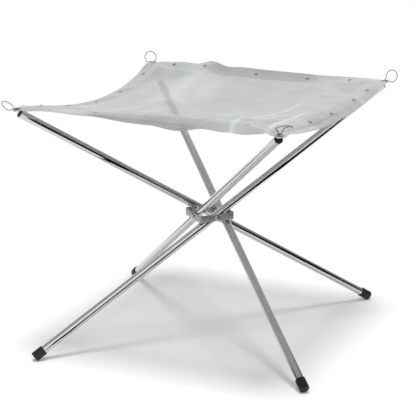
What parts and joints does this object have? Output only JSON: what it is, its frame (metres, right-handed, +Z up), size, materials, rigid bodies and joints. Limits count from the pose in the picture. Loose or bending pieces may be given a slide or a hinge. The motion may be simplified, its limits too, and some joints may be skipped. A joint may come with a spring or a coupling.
{
  "type": "folding fire pit",
  "caption": "Folding fire pit: a fine steel mesh sheet clipped by its corners over crossed tube legs that pivot on a small square hub.",
  "frame": {"origin": "on the ground, under the middle of the hub", "axes": "+Z up; +X and +Y along the hub's rivets, with leg 1 riveted to the wall that faces -Y"},
  "size_m": [0.6458, 0.6323, 0.4031],
  "materials": {
    "mesh_steel": "fine woven stainless mesh",
    "hub_steel": "satin bent strip",
    "rivet_steel": "polished",
    "washer_plastic": "moulded nylon",
    "tube_steel": "polished stainless tube",
    "plug_plastic": "moulded",
    "foot_rubber": "moulded",
    "eyelet_steel": "pressed",
    "clip_wire": "bright spring wire"
  },
  "bodies": {
    "hub": {"hub_bracket_1": "hub_steel", "hub_bracket_2": "hub_steel", "hub_bracket_3": "hub_steel", "hub_bracket_4": "hub_steel", "pivot_rivet_1": "rivet_steel", "pivot_rivet_2": "rivet_steel", "pivot_rivet_3": "rivet_steel", "pivot_rivet_4": "rivet_steel", "spacer_washer_1": "washer_plastic", "spacer_washer_2": "washer_plastic", "spacer_washer_3": "washer_plastic", "spacer_washer_4": "washer_plastic"},
    "leg_1": {"leg_tube_1": "tube_steel", "top_plug_1": "plug_plastic", "foot_cap_1": "foot_rubber"},
    "leg_2": {"leg_tube_2": "tube_steel", "top_plug_2": "plug_plastic", "foot_cap_2": "foot_rubber"},
    "leg_3": {"leg_tube_3": "tube_steel", "top_plug_3": "plug_plastic", "foot_cap_3": "foot_rubber"},
    "leg_4": {"leg_tube_4": "tube_steel", "top_plug_4": "plug_plastic", "foot_cap_4": "foot_rubber"},
    "sheet": {"mesh_sheet": "mesh_steel", "hem_rivets_1": "rivet_steel", "hem_rivets_2": "rivet_steel", "hem_rivets_3": "rivet_steel", "hem_rivets_4": "rivet_steel", "corner_eyelet_1": "eyelet_steel", "corner_eyelet_2": "eyelet_steel", "corner_eyelet_3": "eyelet_steel", "corner_eyelet_4": "eyelet_steel"},
    "clip_1": {"ring_clip_1": "clip_wire"},
    "clip_2": {"ring_clip_2": "clip_wire"},
    "clip_3": {"ring_clip_3": "clip_wire"},
    "clip_4": {"ring_clip_4": "clip_wire"}
  },
  "joints": [
    {"name": "fold", "type": "hinge", "parent": "hub", "child": "leg_1", "pos_m": [0, -0.02045, 0.19382], "axis": [0, -1, 0], "range_deg": [0, 58]},
    {"name": "leg_2_pivot", "type": "hinge", "parent": "hub", "child": "leg_2", "pos_m": [0.02045, 0, 0.19382], "axis": [1, 0, 0], "range_deg": [0, 58]},
    {"name": "leg_3_pivot", "type": "hinge", "parent": "hub", "child": "leg_3", "pos_m": [0, 0.02045, 0.19382], "axis": [0, 1, 0], "range_deg": [0, 58]},
    {"name": "leg_4_pivot", "type": "hinge", "parent": "hub", "child": "leg_4", "pos_m": [-0.02045, 0, 0.19382], "axis": [-1, 0, 0], "range_deg": [0, 58]},
    {"name": "sheet_lift", "type": "slide", "parent": "hub", "child": "sheet", "axis": [0, 0, 1], "range_m": [0, 0.526]},
    {"name": "clip_1_pull", "type": "slide", "parent": "sheet", "child": "clip_1", "axis": [0.6428, 0, 0.766], "range_m": [0, 0.025]},
    {"name": "clip_2_pull", "type": "slide", "parent": "sheet", "child": "clip_2", "axis": [0, 0.6428, 0.766], "range_m": [0, 0.025]},
    {"name": "clip_3_pull", "type": "slide", "parent": "sheet", "child": "clip_3", "axis": [-0.6428, 0, 0.766], "range_m": [0, 0.025]},
    {"name": "clip_4_pull", "type": "slide", "parent": "sheet", "child": "clip_4", "axis": [0, -0.6428, 0.766], "range_m": [0, 0.025]}
  ],
  "couplings": [
    {"joint": "leg_2_pivot", "follows": "fold", "ratio": 1},
    {"joint": "leg_3_pivot", "follows": "fold", "ratio": 1},
    {"joint": "leg_4_pivot", "follows": "fold", "ratio": 1},
    {"joint": "sheet_lift", "follows": "fold", "m_per_rad": 0.51914}
  ]
}
